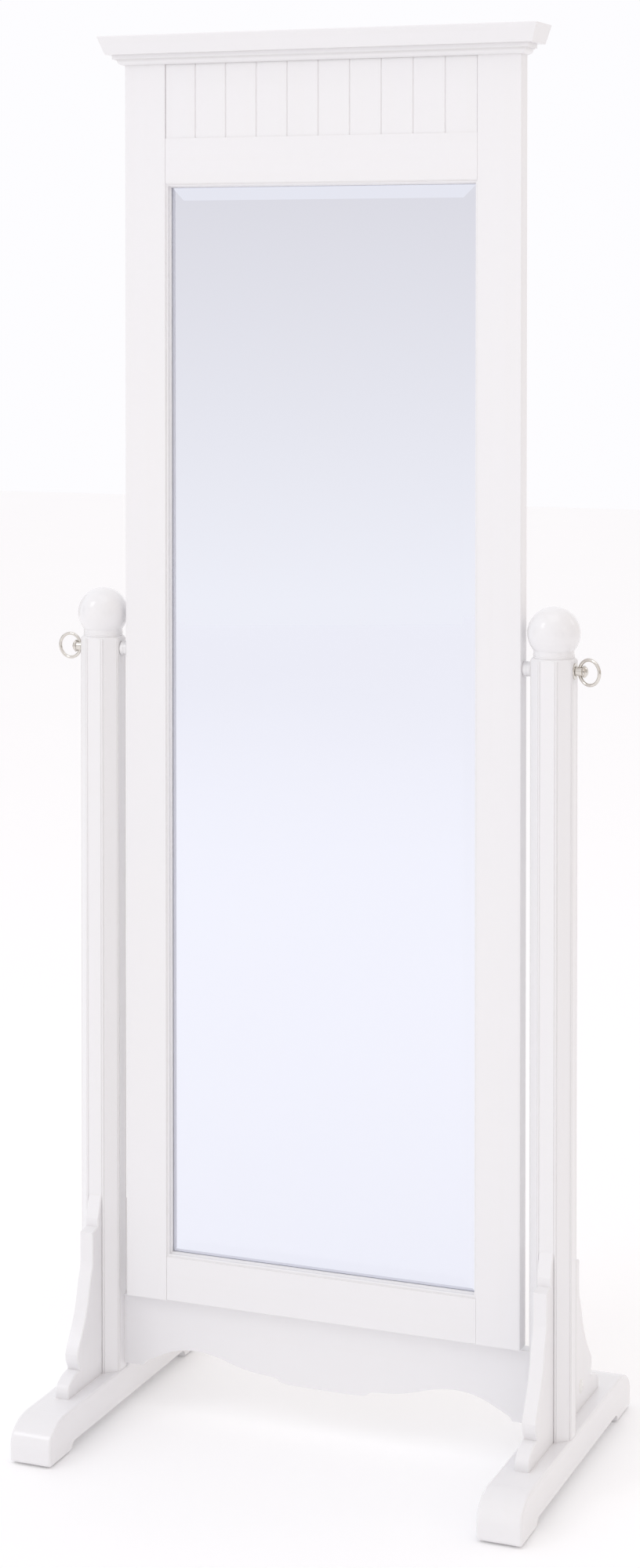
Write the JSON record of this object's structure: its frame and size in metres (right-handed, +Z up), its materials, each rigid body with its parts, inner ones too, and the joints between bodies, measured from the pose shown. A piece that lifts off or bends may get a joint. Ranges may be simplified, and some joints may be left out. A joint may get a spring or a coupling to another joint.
{
  "type": "cheval floor mirror",
  "caption": "Tall bevelled mirror in a panelled frame with a moulded crown, tilting between ball-topped octagonal posts on scroll-bracketed feet.",
  "frame": {"origin": "on the floor, under the middle of the two feet", "axes": "+Z up, +X to the viewer's right across the mirror, +Y to the back, so the glass faces -Y"},
  "size_m": [0.7029, 0.442, 1.696],
  "materials": {
    "white_paint": "satin white lacquer over wood",
    "backing_board": "pale painted board",
    "white_plastic": "glossy moulded cap",
    "glide_nylon": "dull nylon",
    "silvered_glass": "silvered and bevelled",
    "dowel_wood": "raw beech",
    "polished_nickel": "polished nickel plate",
    "zinc_steel": "zinc plated",
    "bush_brass": "plain turned brass"
  },
  "bodies": {
    "stand": {"left_post": "white_paint", "left_finial": "white_paint", "left_foot": "white_paint", "left_front_bracket": "white_paint", "left_back_bracket": "white_paint", "left_bolt_cap": "white_plastic", "left_post_bush": "bush_brass", "left_backplate": "polished_nickel", "right_post": "white_paint", "right_finial": "white_paint", "right_foot": "white_paint", "right_front_bracket": "white_paint", "right_back_bracket": "white_paint", "right_bolt_cap": "white_plastic", "right_post_bush": "bush_brass", "right_backplate": "polished_nickel", "apron": "white_paint", "foot_glides": "glide_nylon", "apron_dowels": "dowel_wood", "bracket_dowels": "dowel_wood", "post_bolts": "zinc_steel", "bracket_bolts": "zinc_steel", "bracket_screws": "zinc_steel", "barrel_nuts": "zinc_steel"},
    "mirror_frame": {"left_stile": "white_paint", "left_threaded_insert": "bush_brass", "left_pivot_spacer": "white_paint", "right_stile": "white_paint", "right_threaded_insert": "bush_brass", "right_pivot_spacer": "white_paint", "bottom_rail": "white_paint", "top_rail": "white_paint", "head_board": "white_paint", "beadboard_panel": "white_paint", "crown_cap": "white_paint", "crown_moulding": "white_paint", "mirror_glass": "silvered_glass", "glass_moulding": "white_paint", "back_panel": "backing_board", "back_panel_screws": "zinc_steel", "frame_dowels": "dowel_wood", "crown_dowels": "dowel_wood"},
    "left_clamp": {"left_clamp_stud": "zinc_steel", "left_knob": "polished_nickel"},
    "left_ring_pull": {"left_ring": "polished_nickel"},
    "right_clamp": {"right_clamp_stud": "zinc_steel", "right_knob": "polished_nickel"},
    "right_ring_pull": {"right_ring": "polished_nickel"}
  },
  "joints": [
    {"name": "mirror_tilt", "type": "hinge", "parent": "stand", "child": "mirror_frame", "pos_m": [0, -0.0203, 0.9465], "axis": [1, 0, 0], "range_deg": [-165, 165]},
    {"name": "left_knob_turn", "type": "hinge", "parent": "stand", "child": "left_clamp", "pos_m": [-0.33, -0.0203, 0.9465], "axis": [-1, 0, 0], "range_deg": [0, 360]},
    {"name": "left_ring_swing", "type": "hinge", "parent": "left_clamp", "child": "left_ring_pull", "pos_m": [-0.3212, -0.0203, 0.9465], "axis": [0, 0, -1], "range_deg": [-91, 79]},
    {"name": "right_knob_turn", "type": "hinge", "parent": "stand", "child": "right_clamp", "pos_m": [0.33, -0.0203, 0.9465], "axis": [1, 0, 0], "range_deg": [0, 360]},
    {"name": "right_ring_swing", "type": "hinge", "parent": "right_clamp", "child": "right_ring_pull", "pos_m": [0.3212, -0.0203, 0.9465], "axis": [0, 0, 1], "range_deg": [-62, 108]}
  ]
}
